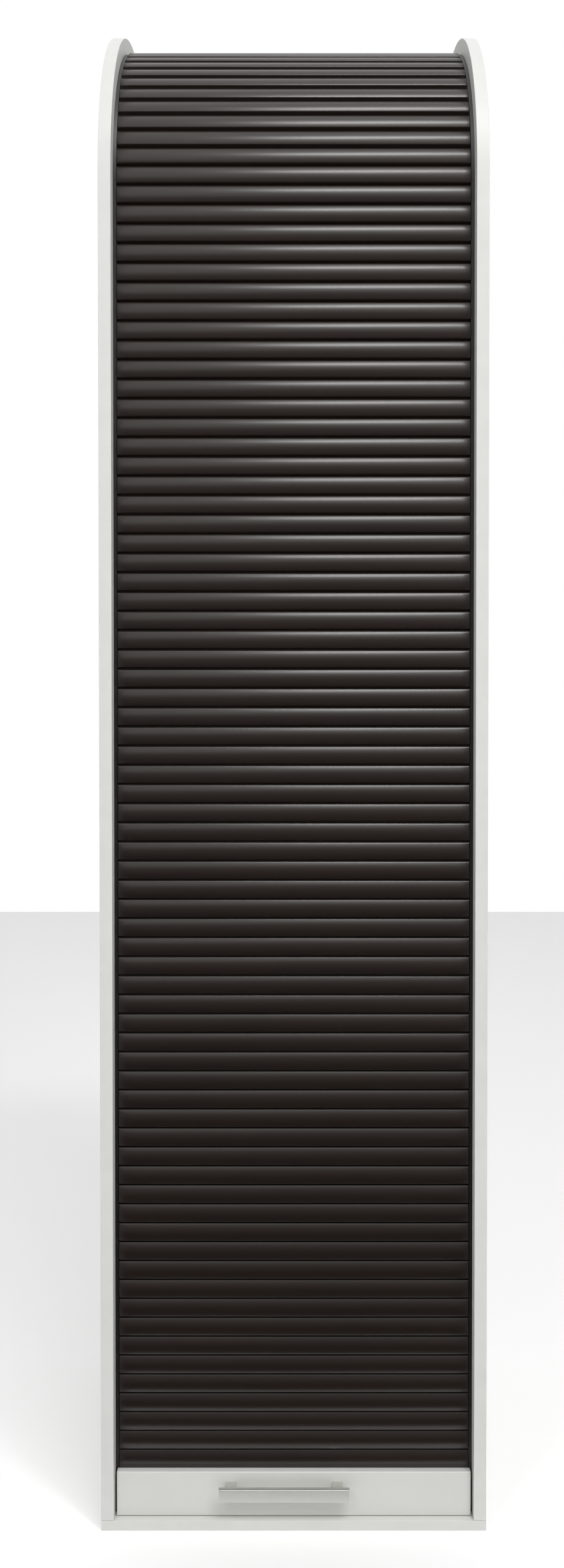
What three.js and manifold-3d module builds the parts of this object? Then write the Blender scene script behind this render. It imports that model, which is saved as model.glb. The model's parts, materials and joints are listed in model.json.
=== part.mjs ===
// A tall storage cabinet closed by a tambour door: a curtain of hinged slats that slides up when
// its lead rail is lifted, over the rounded top and down a channel behind a false back.
//
// Millimetres. X is the width, -Y the front, +Z up. The origin lies on the floor, under the
// middle of the overall outline with its handle. A place on the curtain is given by a run, the
// distance along the hinge line from the lead rail's hook, and by a depth, which is positive
// towards the curtain's outer face.

import * as THREE from "three";
import { mergeGeometries, mergeVertices } from "three/addons/utils/BufferGeometryUtils.js";
import Module from "manifold-3d";

const wasm = await Module();
wasm.setup();

// Carcass
const cabinetWidth = 460;
const cabinetDepth = 440;
const cabinetHeight = 1880;
const boardThickness = 15;
const baseThickness = 12;
const hardboardThickness = 3;
const crownRadius = 270;
const rearPanelInset = 3;
const innerTopGap = 5;
const seatGap = 0.2;

// Shelves and the pins that carry them
const shelfCount = 4;
const fixedShelfNumber = 2;
const shelfSetback = 10;
const shelfSideGap = 1;
const shelfRearGap = 1;
const shelfPinRadius = 2.5;
const shelfPinInPanel = 8;
const shelfPinUnderShelf = 8;
const shelfPinEndChamfer = 0.6;
const shelfPinEndInset = 50;
const shelfHoleClearance = 0.25;
const shelfHoleEndRoom = 1;
const shelfHolePitch = 32;
const shelfHolesEachWay = 1;

// Slat section, measured from the hinge line. Its outer face goes on smoothly from the socket's
// wall as a round belly, then as a flatter brow and a lip. The angles are how far the face looks
// up where the next of them begins
const slatPitch = 23;
const slatFront = 5.8;
const slatBack = 3.2;
const bellyRadius = 17;
const browAngle = THREE.MathUtils.degToRad(18.5);
const lipAngle = THREE.MathUtils.degToRad(22);
const lipRadius = 3;
const backFoot = 0.8;

// Hinge between two slats: a bead on a neck, held in the socket of the slat above
const beadRadius = 1.5;
const neckThickness = 1;
const socketClearance = 0.35;
const socketWall = 1;
const shoulderGap = 0.45;
const mouthFrontAngle = THREE.MathUtils.degToRad(24);
const mouthBackAngle = THREE.MathUtils.degToRad(44);
const hingePinRadius = 1.4;
const hingePinEndGap = 0.8;

// Way of the curtain round the cabinet
const crestInset = 16.2;
const rearHingeInset = 16;
const rearBendRadius = 80;
const channelGap = 6;
const tailSlats = 4;
const openRemainder = 11;
const tailStopGap = 2;

// Guide track, let into a groove in each side panel
const trackSlot = 3.8;
const trackWall = 1.5;
const trackWeb = 1.2;
const trackProud = 4.3;
const trackGrooveDepth = 6;
const slatEndGap = 0.5;

// Lead rail, its glides and its handle
const railHeight = 53.5;
const railThickness = 16;
const railInset = 9;
const railSideGap = 2.5;
const railFloorGap = 0.5;
const railEdgeRound = 1.5;
const hookRise = 1.6;
const rebateRoom = 0.6;
const glideThickness = 3;
const glideHeight = 36;
const glideInRail = 10;
const glideSlotGap = 0.25;
const handleLength = 156;
const handleHeight = 15;
const handleReach = 18;
const handleBarThickness = 7;
const handleHoleSpacing = 128;
const handleLegWidth = 12;
const handleEdgeRound = 1;
const handleCentreHeight = 46.5;
const handleOffset = -11.5;
const screwRadius = 2;
const screwHeadRadius = 4;
const screwHeadHeight = 2.5;
const screwInLeg = 8;
const screwHoleClearance = 0.3;

// Facets and the overrun of every cut
const crownSteps = 24;
const rearBendSteps = 10;
const roundSteps = 3;
const bellySteps = 3;
const lipRoundSteps = 2;
const beadSteps = 7;
const socketLipSteps = 2;
const hingePinSides = 6;
const joinedPinSides = 4;
const shelfPinSides = 10;
const shelfHoleSides = 6;
const screwSides = 12;
const cutOverrun = 1;

// Places that follow from the sizes above
const handleProud = handleReach - railInset;
const frontEdge = (handleProud - cabinetDepth) / 2;
const rearEdge = frontEdge + cabinetDepth;
const innerHalf = cabinetWidth / 2 - boardThickness;
const boardHalf = innerHalf - seatGap;
const panelBottom = baseThickness + seatGap;

const hingeInset = crestInset + slatFront;
const frontHingeY = frontEdge + hingeInset;
const rearHingeY = rearEdge - rearHingeInset;
const crownY = frontEdge + crownRadius;
const crownZ = cabinetHeight - crownRadius;
const crownHingeRadius = crownRadius - hingeInset;
const rearBendY = rearHingeY - rearBendRadius;
const rearBendZ = cabinetHeight - hingeInset - rearBendRadius;

const socketRadius = beadRadius + socketClearance;
const socketOuter = socketRadius + socketWall;
const shoulderDrop = socketOuter + shoulderGap;
const slatTop = slatPitch - shoulderDrop;
const bellyReach = bellyRadius - socketOuter;
const chinAngle = -Math.acos((bellyRadius - slatFront) / bellyReach);
const skirtDrop = -socketOuter * Math.sin(chinAngle);
const crestHeight = -bellyReach * Math.sin(chinAngle);
const browHeight = slatTop - crestHeight
  - bellyRadius * Math.sin(browAngle) - lipRadius * (1 - Math.sin(lipAngle));
const browRadius = browHeight / (Math.sin(lipAngle) - Math.sin(browAngle));
const slatHalf = innerHalf - trackProud - slatEndGap;
const trackBack = innerHalf + trackGrooveDepth - seatGap;
const hingePinEnd = trackBack - trackWeb - hingePinEndGap;
const trackHalf = trackSlot / 2 + trackWall;

const railBottom = baseThickness + railFloorGap;
const railTop = railBottom + railHeight;
const railFrontY = frontEdge + railInset;
const railBackY = railFrontY + railThickness;
const railHalf = innerHalf - railSideGap;
const hookZ = railTop + hookRise;

const frontLength = crownZ - hookZ;
const crownLength = crownHingeRadius * Math.PI / 2;
const topLength = rearBendY - crownY;
const rearBendLength = rearBendRadius * Math.PI / 2;
const crownEnd = frontLength + crownLength;
const bendStart = crownEnd + topLength;
const bendEnd = bendStart + rearBendLength;

const rearPanelY = rearEdge - rearPanelInset - hardboardThickness;
const falseBackRearY = rearHingeY - slatBack - channelGap;
const falseBackY = falseBackRearY - hardboardThickness;
const innerTopZ = rearBendZ - innerTopGap - boardThickness;
const shelfFrontY = frontHingeY + slatBack + shelfSetback;
const bayHeight = (innerTopZ - baseThickness - shelfCount * boardThickness) / (shelfCount + 1);

// Slats of each stretch of the closed curtain, counted from the lead rail
const frontSlats = Math.floor(frontLength / slatPitch);
const crownSlats = Math.ceil(crownEnd / slatPitch) - frontSlats;
const topSlats = Math.ceil(bendEnd / slatPitch) - frontSlats - crownSlats;

// The door opens until this much of its front run is left; its tail then lands on the foot rail
const doorTravel = frontSlats * slatPitch - openRemainder;
const tailEndRun = (frontSlats + crownSlats + topSlats + tailSlats) * slatPitch;
const tailEndZ = rearBendZ - (tailEndRun - bendEnd) - beadRadius;
const footRailTop = tailEndZ - doorTravel - tailStopGap;

const melamine = new THREE.MeshStandardMaterial({ color: 0xd9d7d2, roughness: 0.55, metalness: 0 });
const hardboard = new THREE.MeshStandardMaterial({ color: 0xe2e0da, roughness: 0.7, metalness: 0 });
const slatPlastic = new THREE.MeshStandardMaterial({ color: 0x2b2320, roughness: 0.4, metalness: 0 });
const trackPlastic = new THREE.MeshStandardMaterial({ color: 0x1c1917, roughness: 0.5, metalness: 0 });
const glidePlastic = new THREE.MeshStandardMaterial({ color: 0x333333, roughness: 0.5, metalness: 0 });
const handleMetal = new THREE.MeshStandardMaterial({ color: 0xb4b2ae, roughness: 0.4, metalness: 0.9 });
const zincSteel = new THREE.MeshStandardMaterial({ color: 0xc4c6c8, roughness: 0.35, metalness: 1 });

const cabinet = new THREE.Group();
const carcass = new THREE.Group();
const curtain = new THREE.Group();
const doorLead = new THREE.Group();
cabinet.add(carcass, curtain, doorLead);

function addPiece(group, name, geometry, material) {
  const mesh = new THREE.Mesh(geometry, material);
  mesh.name = name;
  group.add(mesh);
  return mesh;
}

function toSolid(geometry) {
  const bare = geometry.clone();
  bare.deleteAttribute("normal");
  bare.deleteAttribute("uv");
  const merged = mergeVertices(bare);
  return new wasm.Manifold(new wasm.Mesh({
    numProp: 3,
    vertProperties: Float32Array.from(merged.attributes.position.array),
    triVerts: Uint32Array.from(merged.index.array),
  }));
}

function toGeometry(solid) {
  const mesh = solid.getMesh();
  const geometry = new THREE.BufferGeometry();
  geometry.setAttribute("position", new THREE.BufferAttribute(mesh.vertProperties, 3));
  geometry.setIndex(new THREE.BufferAttribute(mesh.triVerts, 1));
  return geometry;
}

function evenSteps(from, to, steps) {
  return Array.from({ length: steps + 1 }, (_, step) => from + (to - from) * step / steps);
}

// Points of an arc, both ends included
function arc(centreX, centreY, radius, from, to, steps) {
  return evenSteps(from, to, steps).map((angle) => [
    centreX + radius * Math.cos(angle), centreY + radius * Math.sin(angle),
  ]);
}

function extrude(outline, length) {
  const shape = new THREE.Shape(outline.map(([x, y]) => new THREE.Vector2(x, y)));
  return new THREE.ExtrudeGeometry(shape, { depth: length, bevelEnabled: false });
}

// Solid with an outline in the Y-Z plane, standing between two X planes
function prismAcross(outline, fromX, toX) {
  const low = Math.min(fromX, toX);
  const turned = new THREE.Matrix4().makeBasis(
    new THREE.Vector3(0, 1, 0), new THREE.Vector3(0, 0, 1), new THREE.Vector3(1, 0, 0));
  return extrude(outline, Math.abs(toX - fromX)).applyMatrix4(turned.setPosition(low, 0, 0));
}

function boardBetween([lowX, lowY, lowZ], [highX, highY, highZ]) {
  const geometry = new THREE.BoxGeometry(highX - lowX, highY - lowY, highZ - lowZ);
  return geometry.translate((lowX + highX) / 2, (lowY + highY) / 2, (lowZ + highZ) / 2);
}

// The hinge line: its point and the angle by which it has turned backwards from straight up
function hingeLineAt(run) {
  if (run <= frontLength) return { y: frontHingeY, z: hookZ + run, turn: 0 };
  if (run <= crownEnd) {
    const turn = (run - frontLength) / crownHingeRadius;
    return {
      y: crownY - crownHingeRadius * Math.cos(turn),
      z: crownZ + crownHingeRadius * Math.sin(turn),
      turn,
    };
  }
  if (run <= bendStart) {
    return { y: crownY + run - crownEnd, z: rearBendZ + rearBendRadius, turn: Math.PI / 2 };
  }
  if (run <= bendEnd) {
    const turn = Math.PI / 2 + (run - bendStart) / rearBendRadius;
    return {
      y: rearBendY - rearBendRadius * Math.cos(turn),
      z: rearBendZ + rearBendRadius * Math.sin(turn),
      turn,
    };
  }
  return { y: rearHingeY, z: rearBendZ - (run - bendEnd), turn: Math.PI };
}

// Puts a point given by its depth and its distance along a slat into a frame on the hinge line
function placeInFrame({ y, z, turn }, [depth, along]) {
  return [
    y - depth * Math.cos(turn) + along * Math.sin(turn),
    z + depth * Math.sin(turn) + along * Math.cos(turn),
  ];
}

// Frame of one slat, from the hinge under it to the hinge over it
function slatFrame(number) {
  const low = hingeLineAt(number * slatPitch);
  const high = hingeLineAt((number + 1) * slatPitch);
  return { y: low.y, z: low.z, turn: Math.atan2(high.y - low.y, high.z - low.z) };
}

function slatFrames(firstNumber, count) {
  return Array.from({ length: count }, (_, index) => slatFrame(firstNumber + index));
}

// Centre of the arc that carries on smoothly from another one at an angle
function nextCentre([x, y], radius, nextRadius, angle) {
  const reach = radius - nextRadius;
  return [x + reach * Math.cos(angle), y + reach * Math.sin(angle)];
}

// Outer face of a slat, from the socket's wall to its lip
function slatFace() {
  const belly = [slatFront - bellyRadius, crestHeight];
  const brow = nextCentre(belly, bellyRadius, browRadius, browAngle);
  const lip = nextCentre(brow, browRadius, lipRadius, lipAngle);
  return [
    ...arc(...belly, bellyRadius, chinAngle, browAngle, bellySteps),
    ...arc(...lip, lipRadius, lipAngle, Math.PI / 2, lipRoundSteps),
  ];
}

const frontLip = mouthFrontAngle - Math.PI / 2;
const backLip = 3 * Math.PI / 2 - mouthBackAngle;

// Wall of the socket that holds the bead of the slat below, open downwards and to the rear. Its
// front ends one point short of the face, which starts with that point
function socketFrontSide() {
  return arc(0, 0, socketOuter, frontLip, chinAngle, socketLipSteps).slice(0, -1);
}

function socketRearSide() {
  return [
    ...arc(0, 0, socketOuter, Math.PI, backLip, socketLipSteps),
    ...arc(0, 0, socketRadius, backLip, frontLip, beadSteps),
  ];
}

function beadOnNeck(along, shoulder) {
  const neckHalf = neckThickness / 2;
  const root = Math.asin(neckHalf / beadRadius);
  return [
    [neckHalf, shoulder],
    ...arc(0, along, beadRadius, root - Math.PI / 2, 3 * Math.PI / 2 - root, beadSteps),
    [-neckHalf, shoulder],
  ];
}

// Outline of slats that hang together: a socket under the first, a bead over the last, and
// between two of them a plain web from the front of the neck to the rear of the bead
function curtainOutline(frames) {
  const webFront = neckThickness / 2;
  const outer = [];
  const inner = [];
  frames.forEach((frame, index) => {
    const first = index === 0;
    const last = index === frames.length - 1;
    const rising = [
      ...(first ? socketFrontSide() : [[webFront, -skirtDrop]]),
      ...slatFace(),
      ...(last ? beadOnNeck(slatPitch, slatTop) : [[webFront, slatTop]]),
    ];
    const falling = [
      ...(last ? [] : [[-beadRadius, slatTop]]),
      [-slatBack, slatTop],
      [-slatBack, backFoot],
      ...(first ? socketRearSide() : [[-beadRadius, backFoot]]),
    ];
    outer.push(...rising.map((point) => placeInFrame(frame, point)));
    inner.unshift(...falling.map((point) => placeInFrame(frame, point)));
  });
  return [...outer, ...inner];
}

// Both ends of each hinge bead, which run as pins in the tracks
function hingePins(centres, sideCount) {
  const pins = centres.flatMap(([y, z]) => [-1, 1].map((side) => {
    const round = arc(y, z, hingePinRadius, 0, 2 * Math.PI, sideCount).slice(1);
    return prismAcross(round, side * (slatHalf - cutOverrun), side * hingePinEnd);
  }));
  return toSolid(mergeGeometries(pins));
}

function curtainGeometry(frames) {
  const sheet = toSolid(prismAcross(curtainOutline(frames), -slatHalf, slatHalf));
  const centres = frames.map((frame) => placeInFrame(frame, [0, slatPitch]));
  return toGeometry(sheet.add(hingePins(centres, frames.length > 1 ? joinedPinSides : hingePinSides)));
}

// Outline of a band that follows the hinge line between two depths and two runs
function bandOutline(lowDepth, highDepth, fromRun, toRun) {
  const stations = [
    ...evenSteps(frontLength, crownEnd, crownSteps), ...evenSteps(bendStart, bendEnd, rearBendSteps),
  ];
  const runs = [fromRun, ...stations.filter((run) => run > fromRun && run < toRun), toRun];
  const side = (depth) => runs.map((run) => placeInFrame(hingeLineAt(run), [depth, 0]));
  return [...side(highDepth), ...side(lowDepth).reverse()];
}

// A length of guide track on one side: an open channel whose slot faces the curtain
function trackGeometry(side, fromRun, toRun) {
  const lipX = side * (innerHalf - trackProud);
  const body = toSolid(prismAcross(
    bandOutline(-trackHalf, trackHalf, fromRun, toRun), lipX, side * trackBack));
  const slot = toSolid(prismAcross(
    bandOutline(-trackSlot / 2, trackSlot / 2, fromRun - cutOverrun, toRun + cutOverrun),
    lipX - side * cutOverrun, side * (trackBack - trackWeb)));
  return toGeometry(body.subtract(slot));
}

function shelfBottom(number) {
  return baseThickness + number * bayHeight + (number - 1) * boardThickness;
}

// Numbers of the shelves that rest on pins, with the place of each of their pins
const looseShelves = Array.from({ length: shelfCount }, (_, index) => index + 1)
  .filter((number) => number !== fixedShelfNumber);
const looseShelfRearY = falseBackY - shelfRearGap;
const pinYs = { front: shelfFrontY + shelfPinEndInset, rear: looseShelfRearY - shelfPinEndInset };

function pinZ(number) {
  return shelfBottom(number) - seatGap - shelfPinRadius;
}

function sidePanelGeometry(side) {
  const outline = [
    [frontEdge, panelBottom],
    [rearEdge, panelBottom],
    [rearEdge, cabinetHeight],
    ...arc(crownY, crownZ, crownRadius, Math.PI / 2, Math.PI, crownSteps),
  ];
  const footRun = bendEnd + rearBendZ - footRailTop;
  const grooveHalf = trackHalf + seatGap;
  const groove = prismAcross(
    bandOutline(-grooveHalf, grooveHalf, panelBottom - cutOverrun - hookZ, footRun),
    side * (innerHalf - cutOverrun), side * (innerHalf + trackGrooveDepth));
  const holes = [];
  for (const number of looseShelves) {
    for (const y of Object.values(pinYs)) {
      for (let step = -shelfHolesEachWay; step <= shelfHolesEachWay; step += 1) {
        const round = arc(y, pinZ(number) + step * shelfHolePitch, shelfHoleRadius(), 0,
          2 * Math.PI, shelfHoleSides).slice(1);
        holes.push(prismAcross(round, side * (innerHalf - cutOverrun),
          side * (innerHalf + shelfPinInPanel + shelfHoleEndRoom)));
      }
    }
  }
  return toGeometry(toSolid(prismAcross(outline, side * innerHalf, side * cabinetWidth / 2))
    .subtract(toSolid(groove))
    .subtract(toSolid(mergeGeometries(holes))));
}

// Corner radius of a faceted hole whose flats clear the pin
function shelfHoleRadius() {
  return (shelfPinRadius + shelfHoleClearance) / Math.cos(Math.PI / shelfHoleSides);
}

// A chamfered pin along X, half in the panel and half under the shelf
function shelfPinGeometry(side) {
  const profile = [
    [0, -shelfPinUnderShelf],
    [shelfPinRadius - shelfPinEndChamfer, -shelfPinUnderShelf],
    [shelfPinRadius, shelfPinEndChamfer - shelfPinUnderShelf],
    [shelfPinRadius, shelfPinInPanel - shelfPinEndChamfer],
    [shelfPinRadius - shelfPinEndChamfer, shelfPinInPanel],
    [0, shelfPinInPanel],
  ];
  const geometry = new THREE.LatheGeometry(
    profile.map(([radius, along]) => new THREE.Vector2(radius, along)), shelfPinSides);
  return geometry.rotateZ(-side * Math.PI / 2);
}

function leadRailGeometry() {
  const shoulder = hookZ - shoulderDrop;
  const stepY = frontHingeY - socketOuter - socketClearance;
  const hook = beadOnNeck(hookZ, shoulder).map(([depth, z]) => [frontHingeY - depth, z]);
  const outline = [
    ...arc(railFrontY + railEdgeRound, railBottom + railEdgeRound, railEdgeRound,
      Math.PI, 3 * Math.PI / 2, roundSteps),
    [railBackY, railBottom],
    [railBackY, shoulder],
    ...hook.reverse(),
    [stepY, shoulder],
    [stepY, railTop],
    ...arc(railFrontY + railEdgeRound, railTop - railEdgeRound, railEdgeRound,
      Math.PI / 2, Math.PI, roundSteps),
  ];
  let rail = toSolid(prismAcross(outline, -railHalf, railHalf));
  rail = rail.add(hingePins([[frontHingeY, hookZ]], hingePinSides));
  for (const side of [-1, 1]) {
    const [nearX, farX] = [side * slatHalf, side * (railHalf + cutOverrun)];
    const rebate = boardBetween(
      [Math.min(nearX, farX), frontHingeY - trackHalf - rebateRoom, railBottom - cutOverrun],
      [Math.max(nearX, farX), railBackY + cutOverrun, hookZ - beadRadius]);
    const glideSlot = prismAcross(glideOutline(glideSlotGap),
      side * (slatHalf - glideInRail - glideSlotGap), side * (slatHalf + cutOverrun));
    const screwHole = new THREE.CylinderGeometry(
      screwRadius + screwHoleClearance, screwRadius + screwHoleClearance,
      railThickness + 2 * cutOverrun, screwSides);
    screwHole.translate(handleScrewX(side), (railFrontY + railBackY) / 2, handleCentreHeight);
    rail = rail.subtract(toSolid(rebate)).subtract(toSolid(glideSlot)).subtract(toSolid(screwHole));
  }
  return toGeometry(rail);
}

// Upright capsule on the hinge line, halfway up the lead rail
function glideOutline(grow) {
  const half = glideThickness / 2 + grow;
  const reach = (glideHeight - glideThickness) / 2;
  const middle = (railBottom + hookZ - shoulderDrop) / 2;
  return [
    ...arc(frontHingeY, middle + reach, half, 0, Math.PI, roundSteps),
    ...arc(frontHingeY, middle - reach, half, Math.PI, 2 * Math.PI, roundSteps),
  ];
}

function handleScrewX(side) {
  return handleOffset + side * handleHoleSpacing / 2;
}

// A bar on two legs, tapped from behind for its screws
function handleGeometry() {
  const backY = railFrontY - seatGap;
  const frontY = railFrontY - handleReach;
  const barBackY = frontY + handleBarThickness;
  const half = handleLength / 2;
  const legOuter = (handleHoleSpacing + handleLegWidth) / 2;
  const legInner = (handleHoleSpacing - handleLegWidth) / 2;
  const outline = [
    ...arc(-half + handleEdgeRound, frontY + handleEdgeRound, handleEdgeRound,
      Math.PI, 3 * Math.PI / 2, roundSteps),
    ...arc(half - handleEdgeRound, frontY + handleEdgeRound, handleEdgeRound,
      3 * Math.PI / 2, 2 * Math.PI, roundSteps),
    [half, barBackY], [legOuter, barBackY], [legOuter, backY], [legInner, backY],
    [legInner, barBackY], [-legInner, barBackY], [-legInner, backY], [-legOuter, backY],
    [-legOuter, barBackY], [-half, barBackY],
  ];
  const bar = extrude(outline, handleHeight)
    .translate(handleOffset, 0, handleCentreHeight - handleHeight / 2);
  const taps = [-1, 1].map((side) => {
    const depth = screwInLeg + screwHoleClearance + cutOverrun;
    const tap = new THREE.CylinderGeometry(
      screwRadius + screwHoleClearance, screwRadius + screwHoleClearance, depth, screwSides);
    return tap.translate(handleScrewX(side), backY + cutOverrun - depth / 2, handleCentreHeight);
  });
  return toGeometry(toSolid(bar).subtract(toSolid(mergeGeometries(taps))));
}

// Pan-head screw along Y, its head behind the lead rail and its tip towards the front
function screwGeometry() {
  const tip = seatGap + railThickness + seatGap + screwInLeg;
  const head = arc(0, 0, 1, Math.PI / 2, 0, roundSteps)
    .map(([across, up]) => [screwHeadRadius * across, screwHeadHeight * up]);
  const profile = [[0, -tip], [screwRadius, -tip], [screwRadius, 0], ...head.reverse()];
  return new THREE.LatheGeometry(
    profile.map(([radius, along]) => new THREE.Vector2(radius, along)), screwSides);
}

// Carcass boards
const sides = { left: -1, right: 1 };
for (const [word, side] of Object.entries(sides)) {
  addPiece(carcass, `side_panel_${word}`, sidePanelGeometry(side), melamine);
}
addPiece(carcass, "base_board", boardBetween(
  [-cabinetWidth / 2, frontEdge, 0], [cabinetWidth / 2, rearEdge, baseThickness]), melamine);
addPiece(carcass, "top_cover", boardBetween(
  [-boardHalf, crownY, cabinetHeight - boardThickness], [boardHalf, rearEdge, cabinetHeight]), melamine);

const innerTopClearRadius = crownHingeRadius - slatBack - innerTopGap;
const innerTopRise = innerTopZ + boardThickness - crownZ;
const innerTopFrontY = crownY - Math.sqrt(innerTopClearRadius ** 2 - innerTopRise ** 2);
addPiece(carcass, "inner_top_board", boardBetween(
  [-boardHalf, innerTopFrontY, innerTopZ],
  [boardHalf, falseBackRearY, innerTopZ + boardThickness]), melamine);
addPiece(carcass, "false_back", boardBetween(
  [-boardHalf, falseBackY, panelBottom], [boardHalf, falseBackRearY, innerTopZ - seatGap]), hardboard);
addPiece(carcass, "rear_panel", boardBetween(
  [-boardHalf, rearPanelY, panelBottom],
  [boardHalf, rearPanelY + hardboardThickness, cabinetHeight - boardThickness - seatGap]), hardboard);
addPiece(carcass, "channel_foot_rail", boardBetween(
  [-boardHalf, falseBackRearY + seatGap, panelBottom],
  [boardHalf, falseBackRearY + seatGap + boardThickness, footRailTop]), melamine);

// Shelves, the fixed one tight between the panels and the others on four pins each
addPiece(carcass, "fixed_shelf", boardBetween(
  [-boardHalf, shelfFrontY, shelfBottom(fixedShelfNumber)],
  [boardHalf, falseBackY - seatGap, shelfBottom(fixedShelfNumber) + boardThickness]), melamine);
looseShelves.forEach((number, index) => {
  const half = innerHalf - shelfSideGap;
  addPiece(carcass, `loose_shelf_${index + 1}`, boardBetween(
    [-half, shelfFrontY, shelfBottom(number)],
    [half, looseShelfRearY, shelfBottom(number) + boardThickness]), melamine);
  for (const [word, side] of Object.entries(sides)) {
    for (const [place, y] of Object.entries(pinYs)) {
      addPiece(carcass, `shelf_pin_${index + 1}_${word}_${place}`, shelfPinGeometry(side), zincSteel)
        .position.set(side * innerHalf, y, pinZ(number));
    }
  }
});

// Guide tracks in three lengths a side
for (const [word, side] of Object.entries(sides)) {
  addPiece(carcass, `front_track_${word}`,
    trackGeometry(side, panelBottom - hookZ, frontLength - seatGap), trackPlastic);
  addPiece(carcass, `top_track_${word}`, trackGeometry(side, frontLength, bendEnd), trackPlastic);
  addPiece(carcass, `rear_track_${word}`,
    trackGeometry(side, bendEnd + seatGap, bendEnd + rearBendZ - footRailTop - seatGap), trackPlastic);
}

// Curtain: the straight front run, the slats over the crown, the run under the top cover
// with its rear bend, and the tail that leads the curtain down the rear channel
addPiece(curtain, "tambour_front_run", curtainGeometry(slatFrames(0, frontSlats)), slatPlastic);
const singleSlat = curtainGeometry([{ y: 0, z: 0, turn: 0 }]);
for (let index = 0; index < crownSlats; index += 1) {
  const frame = slatFrame(frontSlats + index);
  const slat = addPiece(curtain, `crown_slat_${index + 1}`, singleSlat, slatPlastic);
  slat.position.set(0, frame.y, frame.z);
  slat.rotation.x = -frame.turn;
}
addPiece(curtain, "tambour_top_run",
  curtainGeometry(slatFrames(frontSlats + crownSlats, topSlats)), slatPlastic);
addPiece(curtain, "tambour_tail",
  curtainGeometry(slatFrames(frontSlats + crownSlats + topSlats, tailSlats)), slatPlastic);

// Lead rail with what it carries
addPiece(doorLead, "lead_rail", leadRailGeometry(), melamine);
for (const [word, side] of Object.entries(sides)) {
  addPiece(doorLead, `rail_glide_${word}`,
    prismAcross(glideOutline(0), side * (slatHalf - glideInRail), side * hingePinEnd), glidePlastic);
}
addPiece(doorLead, "handle", handleGeometry(), handleMetal);
for (const [word, side] of Object.entries(sides)) {
  addPiece(doorLead, `handle_screw_${word}`, screwGeometry(), zincSteel)
    .position.set(handleScrewX(side), railBackY + seatGap, handleCentreHeight);
}

export default cabinet;
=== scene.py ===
"""A tall storage cabinet closed by a tambour door, dressed for a studio picture.

Sizes are millimetres in the cabinet's own frame: X is the width, -Y the front, +Z up. A place on
the curtain is given by a run along the hinge line, from the lead rail's hook, and by a depth,
which is positive towards the curtain's outer face. Meshes are turned to metres as they are made,
and the studio round the cabinet is given in metres.
"""

import json
import logging
import math
from collections.abc import Callable, Sequence
from dataclasses import dataclass
from enum import Enum
from itertools import product

import bmesh
import bpy
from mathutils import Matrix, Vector


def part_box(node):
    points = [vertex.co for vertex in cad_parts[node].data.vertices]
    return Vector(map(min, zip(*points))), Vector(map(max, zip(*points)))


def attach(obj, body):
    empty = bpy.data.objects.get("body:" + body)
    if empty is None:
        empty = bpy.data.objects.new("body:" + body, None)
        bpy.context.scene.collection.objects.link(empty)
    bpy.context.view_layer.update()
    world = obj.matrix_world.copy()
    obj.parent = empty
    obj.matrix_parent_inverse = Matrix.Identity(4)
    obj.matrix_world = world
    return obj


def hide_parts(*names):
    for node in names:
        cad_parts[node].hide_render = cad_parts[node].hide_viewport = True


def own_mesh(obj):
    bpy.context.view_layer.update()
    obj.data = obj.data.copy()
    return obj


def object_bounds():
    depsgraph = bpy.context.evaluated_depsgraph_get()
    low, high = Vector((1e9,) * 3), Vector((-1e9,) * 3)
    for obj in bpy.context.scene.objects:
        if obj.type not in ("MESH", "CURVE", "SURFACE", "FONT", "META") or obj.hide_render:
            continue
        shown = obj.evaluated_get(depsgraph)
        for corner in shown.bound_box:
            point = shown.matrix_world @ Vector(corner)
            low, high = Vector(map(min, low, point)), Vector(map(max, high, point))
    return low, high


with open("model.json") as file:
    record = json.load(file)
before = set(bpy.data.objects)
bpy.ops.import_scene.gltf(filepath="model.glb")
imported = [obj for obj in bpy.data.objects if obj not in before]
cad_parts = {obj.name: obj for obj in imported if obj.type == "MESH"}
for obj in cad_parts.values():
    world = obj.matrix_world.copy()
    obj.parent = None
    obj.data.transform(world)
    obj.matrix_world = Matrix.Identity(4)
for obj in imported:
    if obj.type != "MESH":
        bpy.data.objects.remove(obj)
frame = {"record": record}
CAD_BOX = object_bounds()

MM = 0.001
PHOTO_WIDTH = 920
PHOTO_HEIGHT = 2560
WHITE = (1, 1, 1, 1)
# How far a cutting body passes the surface that it cuts, in millimetres.
OVERRUN = 1
# Chords of a rounded edge, and of one too small to be seen as round.
ROUND_STEPS = 3
SMALL_STEPS = 2
# How much of its inset a drawn-in outline takes off its round corners.
CORNER_SHARE = 0.6
# How squarely a face has to look along a board's axis to belong to a broad side.
BROAD_SIDE = 0.98
# Sockets of the colour mix node, by place, as its other kinds have sockets of the same names.
MIX_SHARE, MIX_FIRST, MIX_SECOND, MIX_RESULT = 0, 6, 7, 2
LOOSE_SHELVES = (1, 2, 3)
PIN_ENDS = ("front", "rear")

Point = tuple[float, float]
Place = tuple[float, float, float]
Bearing = tuple[float, float, float]
Outline = Callable[[float], list[Point]]
Piece = bpy.types.Object
Tree = bpy.types.NodeTree
Socket = bpy.types.NodeSocket

log = logging.getLogger("cabinet")


class Side(Enum):
    """The two sides of the cabinet, as seen from the front."""

    LEFT = -1
    RIGHT = 1

    @property
    def word(self) -> str:
        """Word for this side in the names of nodes."""
        return self.name.lower()


def even_steps(low: float, high: float, steps: int) -> list[float]:
    """Evenly spaced values with both ends.

    Args:
        low: First value.
        high: Last value.
        steps: Number of gaps between values.

    Returns:
        The values, one more than there are steps.
    """
    return [low + (high - low) * step / steps for step in range(steps + 1)]


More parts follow.
